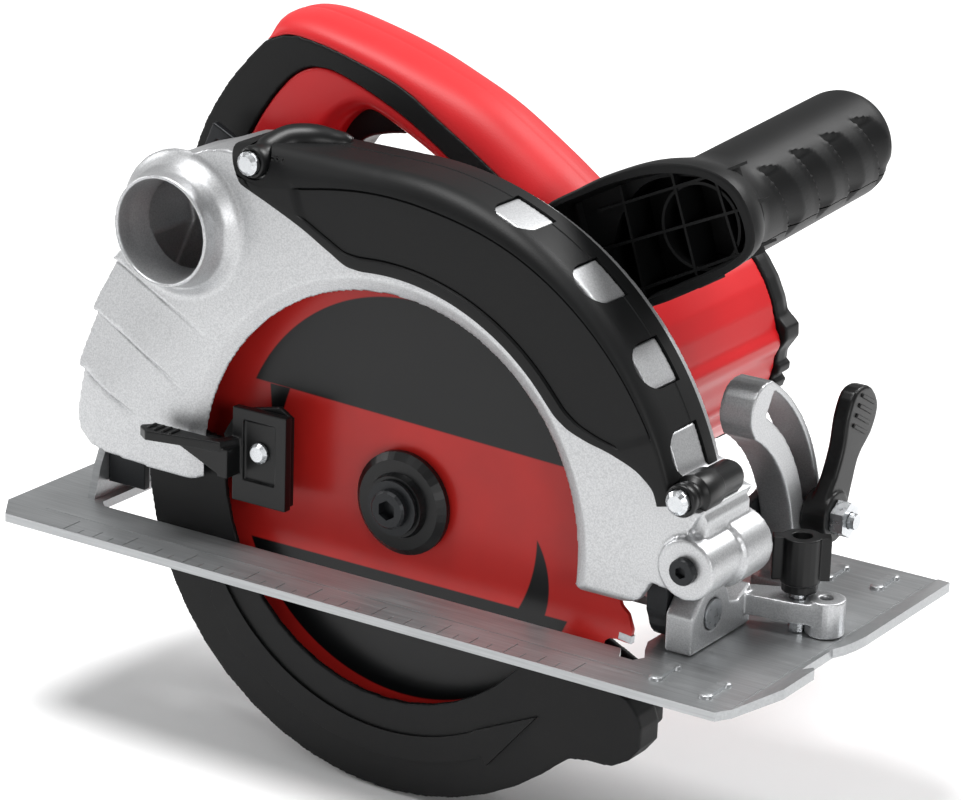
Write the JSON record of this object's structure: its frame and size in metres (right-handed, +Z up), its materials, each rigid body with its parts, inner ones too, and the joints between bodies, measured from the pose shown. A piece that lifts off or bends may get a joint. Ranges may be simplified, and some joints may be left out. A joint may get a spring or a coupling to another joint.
{
  "type": "circular saw",
  "caption": "Hand-held corded circular saw with toothed disc blade, cast upper guard, sprung lower guard, tilting steel sole plate, loop handle and front handle.",
  "frame": {"origin": "on the underside of the sole plate, 66 mm beyond the blade on the motor side, level with the arbor", "axes": "+X is the way the saw is pushed, +Y runs from the blade towards the motor, +Z is up from the work"},
  "size_m": [0.3, 0.2056, 0.2462],
  "materials": {
    "zinc_steel": "brushed zinc-plated sheet",
    "cast_aluminium": "cast aluminium, shot-blasted satin",
    "black_steel": "black oxide",
    "bright_steel": "bright zinc-plated",
    "bearing_steel": "ground",
    "gear_steel": "machined",
    "blade_paint": "satin print on steel",
    "black_plastic": "fine texture, matt",
    "cast_housing": "cast",
    "red_plastic": "semi-gloss",
    "soft_red": "soft overmould",
    "black_rubber": "matt rubber",
    "laminations": "stacked sheet",
    "copper": "turned copper",
    "carbon": "pressed carbon"
  },
  "bodies": {
    "base": {"base_plate": "zinc_steel", "front_bracket": "cast_aluminium", "bevel_quadrant": "cast_aluminium", "bevel_pin_front": "bright_steel", "bevel_pin_rear": "bright_steel"},
    "fence_screw": {"fence_knob": "black_plastic", "fence_stud": "bright_steel"},
    "bevel_frame": {"front_link": "black_steel", "rear_link": "black_steel", "bevel_bolt": "bright_steel"},
    "bevel_clamp": {"bevel_lever": "black_plastic", "bevel_nut": "bright_steel"},
    "saw_body": {"upper_guard": "cast_aluminium", "guard_cover": "black_plastic", "cover_boss_front": "black_plastic", "cover_boss_rear": "black_plastic", "cover_screw_front": "bright_steel", "cover_screw_rear": "bright_steel", "depth_pivot_screw": "black_steel", "depth_bolt": "bright_steel", "bearing_box": "cast_housing", "spindle_bearing_front": "bearing_steel", "spindle_bearing_rear": "bearing_steel", "guard_spring": "bright_steel", "bearing_plate": "black_plastic", "motor_housing": "red_plastic", "motor_end_cap": "black_plastic", "stator": "laminations", "armature_bearing_front": "bearing_steel", "armature_bearing_rear": "bearing_steel", "brush_front": "carbon", "brush_rear": "carbon", "handle_left": "black_plastic", "handle_right": "black_plastic", "grip_left": "soft_red", "grip_right": "soft_red", "handle_liner_left": "red_plastic", "handle_liner_right": "red_plastic", "switch": "black_plastic", "cord_gland": "black_rubber", "front_handle_upper": "black_plastic", "front_handle_lower": "black_plastic"},
    "depth_clamp": {"depth_lever": "black_steel"},
    "trigger_body": {"trigger": "black_plastic"},
    "lock_off": {"lock_off_button": "black_plastic"},
    "spindle_lock": {"spindle_lock_button": "black_plastic"},
    "lower_guard_body": {"lower_guard": "black_plastic", "guard_lever": "black_plastic", "guard_lever_screw": "bright_steel"},
    "blade_assembly": {"saw_blade": "blade_paint", "inner_flange": "bright_steel", "outer_flange": "black_steel", "arbor_bolt": "bright_steel", "spindle": "bright_steel", "spindle_gear": "gear_steel"},
    "armature": {"armature_shaft": "bright_steel", "armature_core": "laminations", "commutator": "copper", "fan": "black_plastic"}
  },
  "joints": [
    {"name": "bevel", "type": "hinge", "parent": "base", "child": "bevel_frame", "pos_m": [0.104, -0.0599, 0.014], "axis": [1, 0, 0], "range_deg": [0, 45]},
    {"name": "depth", "type": "hinge", "parent": "bevel_frame", "child": "saw_body", "pos_m": [0.116, -0.066, 0.0372], "axis": [0, 1, 0], "range_deg": [0, 23]},
    {"name": "fence_screw_turn", "type": "hinge", "parent": "base", "child": "fence_screw", "pos_m": [0.128, -0.031, 0.02], "axis": [0, 0, 1], "range_deg": [0, 540]},
    {"name": "bevel_clamp_turn", "type": "hinge", "parent": "bevel_frame", "child": "bevel_clamp", "pos_m": [0.115, 0.00869, 0.02796], "axis": [1, 0, 0], "range_deg": [0, 50]},
    {"name": "depth_clamp_turn", "type": "hinge", "parent": "saw_body", "child": "depth_clamp", "pos_m": [-0.112, -0.039, 0.037], "axis": [0, 1, 0], "range_deg": [-50, 0]},
    {"name": "lower_guard_turn", "type": "hinge", "parent": "saw_body", "child": "lower_guard_body", "pos_m": [0, -0.066, 0.0284], "axis": [0, 1, 0], "range_deg": [0, 100], "stiffness_Nm_per_rad": 0.15, "springref_deg": -68.75},
    {"name": "blade_spin", "type": "hinge", "parent": "saw_body", "child": "blade_assembly", "pos_m": [0, -0.066, 0.0284], "axis": [0, 1, 0], "continuous": true},
    {"name": "armature_spin", "type": "hinge", "parent": "saw_body", "child": "armature", "pos_m": [0.0095, -0.006, 0.0555], "axis": [0, 1, 0], "continuous": true},
    {"name": "trigger_squeeze", "type": "hinge", "parent": "saw_body", "child": "trigger_body", "pos_m": [-0.0615, -0.018, 0.1395], "axis": [0, 1, 0], "range_deg": [-7, 0], "stiffness_Nm_per_rad": 0.15, "springref_deg": 14.32},
    {"name": "lock_off_press", "type": "slide", "parent": "saw_body", "child": "lock_off", "axis": [0, 1, 0], "range_m": [-0.0025, 0], "stiffness_N_per_m": 400, "springref_m": 0.002},
    {"name": "spindle_lock_press", "type": "slide", "parent": "saw_body", "child": "spindle_lock", "axis": [0, 0, -1], "range_m": [0, 0.0025], "stiffness_N_per_m": 400, "springref_m": -0.002}
  ],
  "couplings": [
    {"joint": "armature_spin", "follows": "blade_spin", "ratio": -4.7143}
  ]
}
